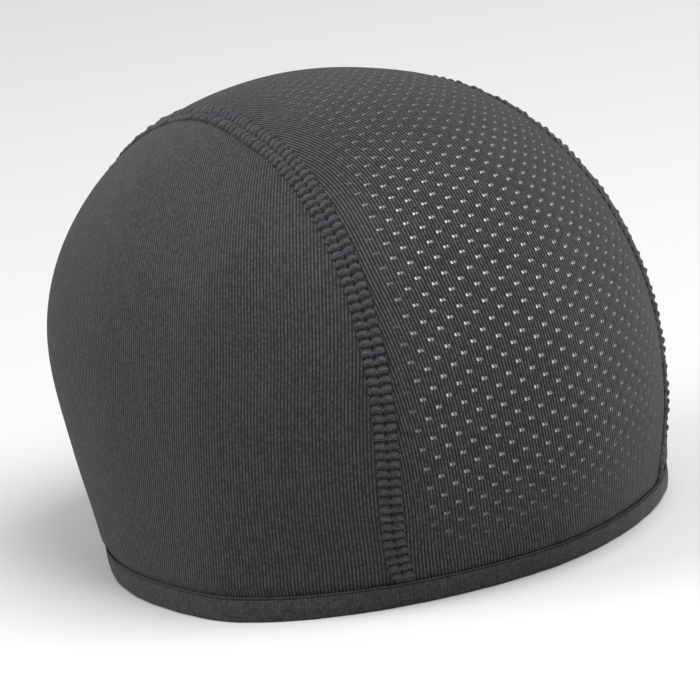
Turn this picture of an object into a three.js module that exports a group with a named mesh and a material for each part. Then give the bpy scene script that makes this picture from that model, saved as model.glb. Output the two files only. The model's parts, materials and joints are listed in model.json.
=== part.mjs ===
// A helmet liner cap: a perforated crown panel and two plain side panels, knitted, joined by two flat
// seams and bound round the hem by a folded band. Units are millimetres and +Z is up. The cap stands on
// its hem at z = 0, and the wearer faces -Y, so the wearer's left is at +X.

import * as THREE from "three";

// The dome's outer face. Reaches are measured from the upright axis through the highest point.
const CAP_HEIGHT = 131;
const HALF_WIDTH = 80;
const FRONT_REACH = 86;
const BACK_REACH = 132;

// How square the dome is: 2 is an ellipse, more is fuller, less is more pointed.
const FRONT_ROUNDNESS = 1.8;
const BACK_ROUNDNESS = 2.26;
const FRONT_DOMING = 2.34;
const BACK_DOMING = 2.17;
const SIDE_DOMING = 2.12;

// Level sections from hem to crown. Heights are shares of CAP_HEIGHT, and each other column is a share of
// its own reach, before the doming draws the section in towards the crown.
const SECTIONS = [
  { height: 0.0, front: 0.704, back: 0.705, side: 0.976 },
  { height: 0.08, front: 0.757, back: 0.744, side: 0.961 },
  { height: 0.25, front: 0.874, back: 0.835, side: 0.972 },
  { height: 0.5, front: 0.974, back: 0.984, side: 1.018 },
  { height: 0.75, front: 0.989, back: 1.056, side: 1.04 },
  { height: 1.0, front: 1.018, back: 1.134, side: 0.925 },
];

// Cloth and seams.
const CLOTH_WALL = 1.0;
const SEAM_WIDTH = 6.6;
const SEAM_RISE = 0.6;
const GAP = 0.3;

// The seam lines lie this far from the cap's middle, as shares of CROWN_PANEL_HALF_WIDTH. The column
// "along" runs from the front hem at 0, over the crown, to the back hem at 1.
const CROWN_PANEL_HALF_WIDTH = 49;
const SEAM_LINE = [
  { along: 0.0, half: 0.88 },
  { along: 0.25, half: 1.0 },
  { along: 0.5, half: 0.66 },
  { along: 0.61, half: 0.42 },
  { along: 0.8, half: 0.34 },
  { along: 1.0, half: 0.4 },
];

// A seam's cover in cross-section: two rows of loops with a furrow between them. The column "across" is a
// share of half the seam's width, and "rise" a share of SEAM_RISE.
const SEAM_PROFILE = [
  { across: -1.0, rise: 0.15 },
  { across: -0.55, rise: 1.0 },
  { across: 0.0, rise: 0.45 },
  { across: 0.55, rise: 1.0 },
  { across: 1.0, rise: 0.15 },
];

// The hem band is folded round the panels' edges.
const BAND_HEIGHT = 7;
const BAND_PLY = 0.8;
const BAND_EDGE_ROUNDING = 0.35;
const FOLD_ROUNDING = 0.7;
const TUCK_RUN = 6;

// Fineness of the facets.
const ROWS_OVER_CROWN = 32;
const CROWN_PANEL_COLUMNS = 12;
const SIDE_PANEL_ROWS = 8;
const BAND_STATIONS = 80;
const BISECTIONS = 32;

// What follows from the sizes above.
const TUCK_DEPTH = BAND_PLY + GAP;
const SLOT_WIDTH = CLOTH_WALL + 2 * GAP;
const CLOTH_EDGE_HEIGHT = BAND_PLY + GAP;
const BAND_CLEAR_HEIGHT = BAND_HEIGHT + GAP;
const FREE_HEIGHT = BAND_CLEAR_HEIGHT + TUCK_RUN;
const LOW_HEIGHTS = [CLOTH_EDGE_HEIGHT, BAND_CLEAR_HEIGHT, BAND_CLEAR_HEIGHT + TUCK_RUN / 2, FREE_HEIGHT];
const FAR_OUTSIDE = 2 * (CAP_HEIGHT + HALF_WIDTH + FRONT_REACH + BACK_REACH);
const MIDDLE_OF_HEM = new THREE.Vector3(0, 0, 0);

// A smooth curve through one column of a table, as a function of the column named by place. Between rows
// it is a cubic with the slopes of the parabola through each row and its neighbours.
function smoothColumn(table, place, key) {
  const at = table.map((row) => row[place]);
  const value = table.map((row) => row[key]);
  const last = table.length - 1;
  const rate = (i) => (value[i + 1] - value[i]) / (at[i + 1] - at[i]);
  const slope = table.map((row, i) => {
    const mid = Math.min(Math.max(i, 1), last - 1);
    const before = at[mid] - at[mid - 1];
    const after = at[mid + 1] - at[mid];
    const bend = (rate(mid) - rate(mid - 1)) / (before + after);
    return rate(mid - 1) + bend * (2 * at[i] - at[mid - 1] - at[mid]);
  });
  return (x) => {
    let i = 0;
    while (i < last - 1 && x > at[i + 1]) i += 1;
    const step = at[i + 1] - at[i];
    const t = (x - at[i]) / step;
    const rest = 1 - t;
    return (
      value[i] * (1 + 2 * t) * rest * rest +
      slope[i] * step * t * rest * rest +
      value[i + 1] * (3 - 2 * t) * t * t -
      slope[i + 1] * step * t * t * rest
    );
  };
}

const frontShare = smoothColumn(SECTIONS, "height", "front");
const backShare = smoothColumn(SECTIONS, "height", "back");
const sideShare = smoothColumn(SECTIONS, "height", "side");
const seamShare = smoothColumn(SEAM_LINE, "along", "half");

// How far the dome is drawn in at a height, from 1 at the hem to 0 at the crown.
function doming(height, roundness) {
  const h = Math.min(Math.max(height, 0), 1);
  return Math.pow(1 - Math.pow(h, roundness), 1 / roundness);
}

// True where a point lies inside the dome's outer face. Each level section is a rounded oval, with one
// reach in front of the axis and another behind it.
function insideDome(p) {
  const height = p.z / CAP_HEIGHT;
  if (height >= 1) return false;
  const facesFront = p.y < 0;
  const side = HALF_WIDTH * sideShare(height) * doming(height, SIDE_DOMING);
  const reach = facesFront
    ? FRONT_REACH * frontShare(height) * doming(height, FRONT_DOMING)
    : BACK_REACH * backShare(height) * doming(height, BACK_DOMING);
  const roundness = facesFront ? FRONT_ROUNDNESS : BACK_ROUNDNESS;
  return Math.pow(Math.abs(p.x) / side, roundness) + Math.pow(Math.abs(p.y) / reach, roundness) < 1;
}

// The point where a line from inside the dome leaves it.
function meetDome(from, direction) {
  const unit = direction.clone().normalize();
  let near = 0;
  let far = FAR_OUTSIDE;
  const probe = new THREE.Vector3();
  for (let n = 0; n < BISECTIONS; n += 1) {
    const middle = (near + far) / 2;
    probe.copy(from).addScaledVector(unit, middle);
    if (insideDome(probe)) near = middle;
    else far = middle;
  }
  return probe.copy(from).addScaledVector(unit, near);
}

const onDomeTowards = (point) => meetDome(MIDDLE_OF_HEM, point);
const onDomeAtHeight = (z, x, y) => meetDome(new THREE.Vector3(0, 0, z), new THREE.Vector3(x, y, 0));

// The dome's outward normal, from four points close round the one given.
function domeNormal(p) {
  const spread = 0.01 * p.length();
  const out = p.clone().normalize();
  const across = new THREE.Vector3(-out.y, out.x, 0);
  if (across.lengthSq() < 1e-9) across.set(1, 0, 0);
  across.normalize();
  const up = out.clone().cross(across);
  const around = [across, up].map((way) =>
    onDomeTowards(p.clone().addScaledVector(way, spread)).sub(
      onDomeTowards(p.clone().addScaledVector(way, -spread)),
    ),
  );
  return around[0].cross(around[1]).normalize();
}

const smoothStep = (from, to, x) => THREE.MathUtils.smoothstep(x, from, to);

// A point sunk into the cloth by a depth. Near the hem the depth is measured level, so that the cloth
// hangs evenly in the band's slot, and higher up it is measured square to the dome.
function sink(p, depth) {
  const normal = domeNormal(p);
  const level = normal.clone().setZ(0).normalize();
  const direction = level.lerp(normal, smoothStep(BAND_CLEAR_HEIGHT, FREE_HEIGHT, p.z)).normalize();
  return p.clone().addScaledVector(direction, -depth);
}

// The cloth lies at the dome's outer face, and dips under the band's outer ply at the hem.
const tuck = (z) => TUCK_DEPTH * (1 - smoothStep(BAND_CLEAR_HEIGHT, FREE_HEIGHT, z));

// The seam line, as a point for each angle of a half-plane that swings about X from the front to the back.
function seamPoint(angle) {
  const x = CROWN_PANEL_HALF_WIDTH * seamShare(angle / Math.PI);
  return meetDome(new THREE.Vector3(x, 0, 0), new THREE.Vector3(0, -Math.cos(angle), Math.sin(angle)));
}

// The angle at which the seam line reaches a height, at the front or at the back.
function seamAngleAt(z, atFront) {
  let low = atFront ? 0 : Math.PI;
  let high = Math.PI / 2;
  for (let n = 0; n < BISECTIONS; n += 1) {
    const middle = (low + high) / 2;
    if (seamPoint(middle).z < z) low = middle;
    else high = middle;
  }
  return (low + high) / 2;
}

// The rows that all panels share: level ones up the front, swinging ones over the crown, and level ones
// down the back. Each holds the seam line's point there, and the way across the seam in the cloth.
function seamRows() {
  const start = seamAngleAt(FREE_HEIGHT, true);
  const end = seamAngleAt(FREE_HEIGHT, false);
  const front = LOW_HEIGHTS.slice(0, -1).map((z) => ({ angle: seamAngleAt(z, true), level: z, side: -1 }));
  const back = LOW_HEIGHTS.slice(0, -1).map((z) => ({ angle: seamAngleAt(z, false), level: z, side: 1 }));
  const over = Array.from({ length: ROWS_OVER_CROWN + 1 }, (unused, i) => {
    const angle = start + ((end - start) * i) / ROWS_OVER_CROWN;
    if (i === 0) return { angle, level: FREE_HEIGHT, side: -1 };
    if (i === ROWS_OVER_CROWN) return { angle, level: FREE_HEIGHT, side: 1 };
    return { angle, level: null, side: 0 };
  });
  const nudge = 0.01;
  return [...front, ...over, ...back.reverse()].map((row) => {
    const point = seamPoint(row.angle);
    const onward = seamPoint(row.angle + nudge).sub(seamPoint(row.angle - nudge)).normalize();
    return { ...row, point, outboard: onward.cross(domeNormal(point)).normalize() };
  });
}

const ROWS = seamRows();
const FIRST_OVER = LOW_HEIGHTS.length - 1;

// The point of a row that lies beside the seam line by a distance, outboard if it is positive.
function besideSeam(row, distance) {
  const aside = row.point.clone().addScaledVector(row.outboard, distance);
  return row.level === null ? onDomeTowards(aside) : onDomeAtHeight(row.level, aside.x, aside.y);
}

const CLOTH_SETBACK = SEAM_WIDTH / 2 + GAP;
const CROWN_PANEL_EDGE = ROWS.map((row) => besideSeam(row, -CLOTH_SETBACK));
const SIDE_PANEL_EDGE = ROWS.map((row) => besideSeam(row, CLOTH_SETBACK));

// A sheet is a list of points on the dome, each with the depths of its outer and inner faces, and the
// triangles that join them.
class Sheet {
  constructor() {
    this.places = [];
    this.triangles = [];
  }

  addPoint(point, outerDepth, innerDepth) {
    this.places.push({ point, outerDepth, innerDepth });
    return this.places.length - 1;
  }

  // Joins a grid of point indices, given row by row. Squares that come to a point lose a triangle.
  joinGrid(grid) {
    for (let i = 0; i + 1 < grid.length; i += 1) {
      for (let j = 0; j + 1 < grid[i].length; j += 1) {
        const [a, b] = [grid[i][j], grid[i][j + 1]];
        const [d, c] = [grid[i + 1][j], grid[i + 1][j + 1]];
        if (a !== b && b !== c && a !== c) this.triangles.push([a, b, c]);
        if (a !== c && c !== d && a !== d) this.triangles.push([a, c, d]);
      }
    }
  }

  // The closed wall between the outer and inner faces. Mirrored sheets lie on the other side of X = 0.
  toWall(mirrored = false) {
    const outer = this.places.map(({ point, outerDepth }) => sink(point, outerDepth));
    const inner = this.places.map(({ point, innerDepth }) => sink(point, innerDepth));
    const count = outer.length;
    const faces = [];
    const borders = new Map();
    for (const [a, b, c] of this.triangles) {
      faces.push([a, b, c], [a + count, c + count, b + count]);
      for (const [from, to] of [[a, b], [b, c], [c, a]]) {
        if (!borders.delete(`${to},${from}`)) borders.set(`${from},${to}`, [from, to]);
      }
    }
    for (const [from, to] of borders.values()) {
      faces.push([to, from, from + count], [to, from + count, to + count]);
    }
    return solidFrom([...outer, ...inner], faces, mirrored);
  }
}

// A mesh geometry from points and faces.
function solidFrom(points, faces, mirrored = false) {
  const geometry = new THREE.BufferGeometry();
  const side = mirrored ? -1 : 1;
  const positions = points.flatMap((p) => [side * p.x, p.y, p.z]);
  geometry.setAttribute("position", new THREE.Float32BufferAttribute(positions, 3));
  geometry.setIndex(faces.flatMap(([a, b, c]) => (mirrored ? [a, c, b] : [a, b, c])));
  geometry.computeVertexNormals();
  return geometry;
}

// The crown panel runs from the front hem over the crown to the back hem, between the two seams.
function crownPanel() {
  const sheet = new Sheet();
  const grid = ROWS.map((row, i) => {
    const edge = CROWN_PANEL_EDGE[i];
    return Array.from({ length: CROWN_PANEL_COLUMNS + 1 }, (unused, j) => {
      const x = edge.x * ((2 * j) / CROWN_PANEL_COLUMNS - 1);
      const point =
        row.level === null
          ? meetDome(new THREE.Vector3(x, 0, 0), new THREE.Vector3(0, edge.y, edge.z))
          : meetDome(new THREE.Vector3(x, 0, row.level), new THREE.Vector3(0, row.side, 0));
      const dip = tuck(point.z);
      return sheet.addPoint(point, dip, dip + CLOTH_WALL);
    });
  });
  sheet.joinGrid(grid);
  return sheet.toWall();
}

// A side panel has level rows at the hem. Above them its rows fan out from the seam's front end to its
// back end, the lowest along the hem and the highest along the seam.
function sidePanel(mirrored) {
  const sheet = new Sheet();
  const azimuth = (p) => Math.atan2(p.x, -p.y);
  const addCloth = (point) => sheet.addPoint(point, tuck(point.z), tuck(point.z) + CLOTH_WALL);
  const levelRow = (z, front, back) =>
    Array.from({ length: ROWS_OVER_CROWN + 1 }, (unused, j) => {
      const share = (1 - Math.cos((Math.PI * j) / ROWS_OVER_CROWN)) / 2;
      const turn = THREE.MathUtils.lerp(azimuth(front), azimuth(back), share);
      return onDomeAtHeight(z, Math.sin(turn), -Math.cos(turn));
    });
  const levels = LOW_HEIGHTS.map((z, k) =>
    levelRow(z, SIDE_PANEL_EDGE[k], SIDE_PANEL_EDGE[SIDE_PANEL_EDGE.length - 1 - k]),
  );
  const levelIndices = levels.map((row) => row.map(addCloth));
  const base = levels[levels.length - 1];
  const baseIndices = levelIndices[levelIndices.length - 1];
  const fan = [baseIndices];
  for (let k = 1; k <= SIDE_PANEL_ROWS; k += 1) {
    fan.push(
      base.map((low, j) => {
        if (j === 0 || j === ROWS_OVER_CROWN) return baseIndices[j];
        const high = SIDE_PANEL_EDGE[FIRST_OVER + j];
        return addCloth(onDomeTowards(low.clone().lerp(high, k / SIDE_PANEL_ROWS)));
      }),
    );
  }
  sheet.joinGrid(levelIndices);
  sheet.joinGrid(fan);
  return sheet.toWall(mirrored);
}

// A seam's cover lies between two panels. It rises clear of the band and runs down into the band's slot.
function seamCover(mirrored) {
  const sheet = new Sheet();
  const grid = ROWS.map((row) =>
    SEAM_PROFILE.map(({ across, rise }) => {
      const point = besideSeam(row, (across * SEAM_WIDTH) / 2);
      const shown = row.level === null ? 1 : smoothStep(BAND_CLEAR_HEIGHT, FREE_HEIGHT, row.level);
      const dip = tuck(point.z);
      return sheet.addPoint(point, dip - SEAM_RISE * rise * shown, dip + CLOTH_WALL);
    }),
  );
  sheet.joinGrid(grid);
  return sheet.toWall(mirrored);
}

// The band's section, as depths into the cloth and heights: the outer ply, the slot that holds the
// panels' edges, the inner ply, and the rounded fold that the cap stands on.
function bandSection() {
  const full = 2 * BAND_PLY + SLOT_WIDTH;
  return [
    { depth: 0, z: BAND_HEIGHT - BAND_EDGE_ROUNDING },
    { depth: 0, z: FOLD_ROUNDING },
    { depth: FOLD_ROUNDING, z: 0 },
    { depth: full - FOLD_ROUNDING, z: 0 },
    { depth: full, z: FOLD_ROUNDING },
    { depth: full, z: BAND_HEIGHT },
    { depth: full - BAND_PLY, z: BAND_HEIGHT },
    { depth: full - BAND_PLY, z: BAND_PLY },
    { depth: BAND_PLY, z: BAND_PLY },
    { depth: BAND_PLY, z: BAND_HEIGHT },
    { depth: BAND_EDGE_ROUNDING, z: BAND_HEIGHT },
  ];
}

// The band runs all round the hem as one closed loop.
function hemBand() {
  const section = bandSection();
  const points = [];
  const faces = [];
  for (let i = 0; i < BAND_STATIONS; i += 1) {
    const turn = (2 * Math.PI * i) / BAND_STATIONS;
    for (const { depth, z } of section) {
      points.push(sink(onDomeAtHeight(z, Math.sin(turn), -Math.cos(turn)), depth));
    }
    for (let k = 0; k < section.length; k += 1) {
      const [here, next] = [i, (i + 1) % BAND_STATIONS].map((station) => station * section.length);
      const [low, high] = [k, (k + 1) % section.length];
      faces.push([here + low, here + high, next + high], [here + low, next + high, next + low]);
    }
  }
  return solidFrom(points, faces);
}

const crownCloth = new THREE.MeshStandardMaterial({ color: 0x3d3d3c, roughness: 0.8, metalness: 0 });
const sideCloth = new THREE.MeshStandardMaterial({ color: 0x3c3b3f, roughness: 0.7, metalness: 0 });
const seamThread = new THREE.MeshStandardMaterial({ color: 0x39393d, roughness: 0.75, metalness: 0 });
const bandCloth = new THREE.MeshStandardMaterial({ color: 0x333334, roughness: 0.75, metalness: 0 });

const cap = new THREE.Group();

function addPiece(name, geometry, material) {
  const piece = new THREE.Mesh(geometry, material);
  piece.name = name;
  cap.add(piece);
}

addPiece("crown_panel", crownPanel(), crownCloth);
addPiece("side_panel_left", sidePanel(false), sideCloth);
addPiece("side_panel_right", sidePanel(true), sideCloth);
addPiece("flat_seam_left", seamCover(false), seamThread);
addPiece("flat_seam_right", seamCover(true), seamThread);
addPiece("hem_band", hemBand(), bandCloth);

// The cap is centred over the origin from front to back.
const extent = new THREE.Box3().setFromObject(cap);
cap.position.y = -(extent.min.y + extent.max.y) / 2;

export default cap;
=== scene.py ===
"""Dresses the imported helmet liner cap: a pierced crown, ribbed sides, flat seams and a bound hem.

The cap's outer face is one dome, given by level sections. Every piece is cut from that dome: a piece is a
grid of places on it, each sunk into the cloth or raised from it by a depth. Lengths are in metres, in the
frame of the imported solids: the cap's front is at -Y, its left as worn is at +X, and +Z is up.
"""

import json
import logging
import math
from dataclasses import dataclass, field
from enum import Enum

import bpy
import numpy as np
from mathutils import Matrix, Vector

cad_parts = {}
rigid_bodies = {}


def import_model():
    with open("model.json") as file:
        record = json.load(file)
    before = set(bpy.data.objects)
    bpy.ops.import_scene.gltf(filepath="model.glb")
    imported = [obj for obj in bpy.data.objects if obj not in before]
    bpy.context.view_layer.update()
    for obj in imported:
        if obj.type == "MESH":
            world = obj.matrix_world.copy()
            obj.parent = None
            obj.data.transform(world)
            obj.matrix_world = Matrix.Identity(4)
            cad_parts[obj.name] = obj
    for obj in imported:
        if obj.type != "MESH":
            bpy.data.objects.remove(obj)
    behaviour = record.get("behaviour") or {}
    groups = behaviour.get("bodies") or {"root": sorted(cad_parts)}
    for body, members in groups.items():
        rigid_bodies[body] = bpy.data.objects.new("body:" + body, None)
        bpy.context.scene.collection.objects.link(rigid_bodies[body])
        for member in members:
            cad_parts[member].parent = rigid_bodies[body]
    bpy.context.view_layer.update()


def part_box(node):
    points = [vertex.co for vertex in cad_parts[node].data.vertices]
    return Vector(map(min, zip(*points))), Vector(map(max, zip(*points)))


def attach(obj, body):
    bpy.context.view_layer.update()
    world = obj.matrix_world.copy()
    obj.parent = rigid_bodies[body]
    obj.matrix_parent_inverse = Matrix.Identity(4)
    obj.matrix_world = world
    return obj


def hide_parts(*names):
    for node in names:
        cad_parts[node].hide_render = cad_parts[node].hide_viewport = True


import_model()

MM = 0.001
BODY = "root"
WEAVE = "weave"
TINY = 1e-9

log = logging.getLogger("cap")


class Side(Enum):
    """The cap's left or right as it is worn, and the sign of X there."""

    LEFT = 1
    RIGHT = -1


class Hold(Enum):
    """How the worn cap holds a piece of its cloth."""

    STRETCHED = "stretched"
    FOLDED = "folded"


@dataclass(frozen=True)
class Section:
    """A level section: its height, and its reaches before the doming draws them in, all as shares."""

    height: float
    front: float
    back: float
    side: float


@dataclass(frozen=True)
class SeamPlace:
    """How far a seam lies from the cap's middle, as a share of the crown's half width.

    The share "along" runs from the front hem at 0, over the crown, to the back hem at 1.
    """

    along: float
    half: float


SECTIONS = (
    Section(0.0, 0.704, 0.705, 0.976),
    Section(0.08, 0.757, 0.744, 0.961),
    Section(0.25, 0.874, 0.835, 0.972),
    Section(0.5, 0.974, 0.984, 1.018),
    Section(0.75, 0.989, 1.056, 1.04),
    Section(1.0, 1.018, 1.134, 0.925),
)

SEAM_PLACES = (
    SeamPlace(0.0, 0.88),
    SeamPlace(0.25, 1.0),
    SeamPlace(0.5, 0.66),
    SeamPlace(0.61, 0.42),
    SeamPlace(0.8, 0.34),
    SeamPlace(1.0, 0.4),
)


def smooth_step(low: float, high: float, x: np.ndarray) -> np.ndarray:
    """A smooth rise from 0 where x is low to 1 where x is high.

    Args:
        low: where the rise starts.
        high: where the rise ends.
        x: the places to work it out at.

    Returns:
        3t² - 2t³, with t the clamped share of the way from low to high.
    """
    t = np.clip((x - low) / (high - low), 0.0, 1.0)
    return t * t * (3.0 - 2.0 * t)


def smooth_column(at: np.ndarray, value: np.ndarray, x: np.ndarray) -> np.ndarray:
    """A cubic curve through a column of a table, with the slopes of parabolas through three rows.

    Args:
        at: where each row stands, rising.
        value: the column's value in each row.
        x: the places to work it out at.

    Returns:
        The column's value at each place.
    """
    slope = np.gradient(value, at, edge_order=2)
    i = np.clip(np.searchsorted(at, x, side="right") - 1, 0, len(at) - 2)
    step = at[i + 1] - at[i]
    t = (x - at[i]) / step
    rest = 1.0 - t
    rising = value[i] * (1 + 2 * t) * rest**2 + slope[i] * step * t * rest**2
    falling = value[i + 1] * (3 - 2 * t) * t**2 - slope[i + 1] * step * t**2 * rest
    return rising + falling


def unit(vectors: np.ndarray) -> np.ndarray:
    """Each vector at length one."""
    return vectors / np.linalg.norm(vectors, axis=-1, keepdims=True)


def stacked(x: np.ndarray, y: np.ndarray, z: np.ndarray) -> np.ndarray:
    """Points from their three coordinates, spread to one shape."""
    return np.stack(np.broadcast_arrays(x, y, z), axis=-1)


@dataclass(frozen=True)
class Dome:
    """The cap's outer face, with the upright axis through its highest point at x = y = 0."""

    height: float = 131 * MM
    half_width: float = 80 * MM
    front_reach: float = 86 * MM
    back_reach: float = 132 * MM
    front_roundness: float = 1.8
    back_roundness: float = 2.26
    front_doming: float = 2.34
    back_doming: float = 2.17
    side_doming: float = 2.12
    far_outside: float = 0.3
    halvings: int = 26
    normal_spread: float = 0.01
    levels_tried: int = 2001

    def reach(self, share: np.ndarray, name: str, doming: float) -> np.ndarray:
        """A column of the sections, drawn in towards the crown.

        Args:
            share: heights as shares of the dome's own.
            name: the column's name.
            doming: how full the dome is on that side.

        Returns:
            The column times (1 - share^doming)^(1 / doming).
        """
        at = np.array([section.height for section in SECTIONS])
        value = np.array([getattr(section, name) for section in SECTIONS])
        low = np.clip(share, 0.0, 1.0)
        return smooth_column(at, value, share) * (1.0 - low**doming) ** (1.0 / doming)

    def inside(self, points: np.ndarray) -> np.ndarray:
        """True for each point inside the outer face.

        A level section is an oval: |x / side|^n + |y / reach|^n = 1, with one reach and roundness n in
        front of the axis and another behind it.

        Args:
            points: the points to test.

        Returns:
            True or False for each.
        """
        share = points[..., 2] / self.height
        in_front = points[..., 1] < 0
        side = self.half_width * self.reach(share, "side", self.side_doming)
        front = self.front_reach * self.reach(share, "front", self.front_doming)
        back = self.back_reach * self.reach(share, "back", self.back_doming)
        roundness = np.where(in_front, self.front_roundness, self.back_roundness)
        across = np.abs(points[..., 0]) / np.maximum(side, TINY)
        along = np.abs(points[..., 1]) / np.maximum(np.where(in_front, front, back), TINY)
        return (share < 1.0) & (across**roundness + along**roundness < 1.0)

    def leave(self, start: np.ndarray, direction: np.ndarray) -> np.ndarray:
        """The points where lines from inside the dome leave it, found by halving.

        Args:
            start: where each line starts.
            direction: which way each line goes.

        Returns:
            The points on the outer face.
        """
        start, direction = np.broadcast_arrays(start, unit(direction))
        near = np.zeros(start.shape[:-1])
        far = np.full(start.shape[:-1], self.far_outside)
        for _ in range(self.halvings):
            middle = (near + far) / 2
            within = self.inside(start + direction * middle[..., None])
            near = np.where(within, middle, near)
            far = np.where(within, far, middle)
        return start + direction * near[..., None]

    def towards(self, points: np.ndarray) -> np.ndarray:
        """The outer face's points on lines from the middle of the hem through the points given."""
        return self.leave(np.zeros(3), points)

    def at_height(self, z: np.ndarray, azimuth: np.ndarray) -> np.ndarray:
        """The outer face's points at heights and azimuths.

        Args:
            z: the heights.
            azimuth: the directions from the axis, which are 0 in front and rise towards +X.

        Returns:
            The points.
        """
        z, azimuth = np.broadcast_arrays(z, azimuth)
        level = np.zeros_like(z, dtype=float)
        return self.leave(stacked(level, level, z), stacked(np.sin(azimuth), -np.cos(azimuth), level))

    def swung(self, x: np.ndarray, angle: np.ndarray) -> np.ndarray:
        """The outer face's points at an X, on a half-plane swung about X from the front to the back."""
        still = np.zeros(np.broadcast(x, angle).shape)
        return self.leave(stacked(x, still, still), stacked(still, -np.cos(angle), np.sin(angle)))

    def normals(self, points: np.ndarray) -> np.ndarray:
        """The outer face's outward normals, as the cross product of two short chords at each point.

        Args:
            points: places on the dome.

        Returns:
            The normals, of length one.
        """
        spread = self.normal_spread * np.linalg.norm(points, axis=-1, keepdims=True)
        out = unit(points)
        across = unit(stacked(-out[..., 1], out[..., 0] + TINY, 0.0))
        up = np.cross(out, across)
        over = self.towards(points + across * spread) - self.towards(points - across * spread)
        rise = self.towards(points + up * spread) - self.towards(points - up * spread)
        return unit(np.cross(over, rise))


DOME = Dome()


@dataclass(frozen=True)
class Cloth:
    """How the cloth hangs: its wall, and how it dips behind the hem band's outer ply."""

    wall: float = 1.0 * MM
    gap: float = 0.3 * MM
    band_ply: float = 0.8 * MM
    band_height: float = 7 * MM
    tuck_run: float = 2.5 * MM

    @property
    def edge_height(self) -> float:
        """The height of the panels' lower edges, in the band's slot."""
        return self.band_ply + self.gap

    @property
    def clear_height(self) -> float:
        """The height at which the panels come clear of the band."""
        return self.band_height + self.gap

    @property
    def free_height(self) -> float:
        """The height above which the panels lie at the dome's outer face."""
        return self.clear_height + self.tuck_run

    def sunk(self, points: np.ndarray, depth: np.ndarray) -> np.ndarray:
        """Points sunk below the cloth's outer face by a depth, or raised where it is negative.

        Args:
            points: places on the dome.
            depth: the depth at each place, below the cloth's own outer face.

        Returns:
            The points, moved level near the hem and square to the dome higher up.
        """
        z = points[..., 2]
        free = smooth_step(self.clear_height, self.free_height, z)
        normal = DOME.normals(points)
        level = unit(normal * np.array([1.0, 1.0, 0.0]))
        direction = unit(level + (normal - level) * free[..., None])
        dip = (self.band_ply + self.gap) * (1.0 - free)
        return points - direction * (depth + dip)[..., None]


CLOTH = Cloth()


@dataclass(frozen=True)
class SeamLine:
    """The middle line of a flat seam, on the +X side of the cap."""

    crown_half_width: float = 49 * MM
    cover_width: float = 6.6 * MM
    level_run: float = 9 * MM
    nudge: float = 0.01
    trials: int = 1441

    def points(self, angle: np.ndarray) -> np.ndarray:
        """The line's points on half-planes swung about X.

        Args:
            angle: the swings, from the front at 0 to the back at pi.

        Returns:
            The points.
        """
        at = np.array([place.along for place in SEAM_PLACES])
        half = np.array([place.half for place in SEAM_PLACES])
        return DOME.swung(self.crown_half_width * smooth_column(at, half, angle / math.pi), angle)

    def beside(self, angle: np.ndarray, distance: np.ndarray) -> np.ndarray:
        """Points on the dome beside the line, outboard by a distance.

        Args:
            angle: where along the line.
            distance: how far outboard, or inboard where it is negative.

        Returns:
            The points. The way across is the line's course crossed with the normal, and level near the
            hem.
        """
        middle = self.points(angle)
        onward = unit(self.points(angle + self.nudge) - self.points(angle - self.nudge))
        outboard = unit(np.cross(onward, DOME.normals(middle)))
        moved = DOME.towards(middle + outboard * distance[..., None])
        z = moved[..., 2]
        free = smooth_step(CLOTH.clear_height, CLOTH.clear_height + self.level_run, middle[..., 2])
        levelled = middle[..., 2] * (1.0 - free) + z * free
        return DOME.at_height(levelled, np.arctan2(moved[..., 0], -moved[..., 1]))

    def even_angles(self, lowest: float, count: int) -> np.ndarray:
        """Angles at even steps along the line, from a height at the front to the same at the back.

        Args:
            lowest: the height at both ends.
            count: how many angles.

        Returns:
            The angles, rising.
        """
        trial = np.linspace(0.0, math.pi, self.trials)
        points = self.points(trial)
        shown = points[:, 2] >= lowest
        trial, points = trial[shown], points[shown]
        run = np.concatenate([[0.0], np.cumsum(np.linalg.norm(np.diff(points, axis=0), axis=1))])
        return np.interp(np.linspace(0.0, run[-1], count), run, trial)

    def length(self, lowest: float) -> float:
        """The line's length between its two points at a height."""
        points = self.points(self.even_angles(lowest, self.trials))
        return float(np.linalg.norm(np.diff(points, axis=0), axis=1).sum())


SEAM = SeamLine()


def frame_shift() -> float:
    """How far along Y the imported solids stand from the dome's own axis.

    Returns:
        The middle of the crown panel's box, less the middle of the dome's own reach.
    """
    low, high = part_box("crown_panel")
    share = np.linspace(0.0, 1.0, DOME.levels_tried)
    front = (DOME.front_reach * DOME.reach(share, "front", DOME.front_doming)).max()
    back = (DOME.back_reach * DOME.reach(share, "back", DOME.back_doming)).max()
    return float((low.y + high.y) / 2 + (front - back) / 2)


SHIFT = np.array([0.0, frame_shift(), 0.0])


def grid_faces(ids: np.ndarray) -> list[list[int]]:
    """The faces of a grid of vertex numbers, without those that have shrunk to a line or a point.

    Args:
        ids: a vertex number for each row and column, where neighbours may share a number.

    Returns:
        Squares, and triangles where two neighbouring corners are one vertex.
    """
    corners = np.stack([ids[:-1, :-1], ids[:-1, 1:], ids[1:, 1:], ids[1:, :-1]], axis=-1).reshape(-1, 4)
    repeats = corners == np.roll(corners, -1, axis=1)
    count = repeats.sum(axis=1)
    squares = corners[count == 0]
    pointed = corners[count == 1]
    kept = ~repeats[count == 1]
    triangles = pointed[kept].reshape(-1, 3)
    return squares.tolist() + triangles.tolist()


def rim_faces(outer: np.ndarray, inner: np.ndarray) -> list[list[int]]:
    """The squares between two closed loops of vertex numbers, with the inner loop on the left."""
    return np.stack([np.roll(outer, -1), outer, inner, np.roll(inner, -1)], axis=-1).tolist()


def border(ids: np.ndarray) -> np.ndarray:
    """The loop of vertex numbers round a grid, in the order of its faces, each number once."""
    loop = np.concatenate([ids[0, :], ids[1:, -1], ids[-1, -2::-1], ids[-2:0:-1, 0]])
    return loop[loop != np.roll(loop, 1)]


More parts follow.
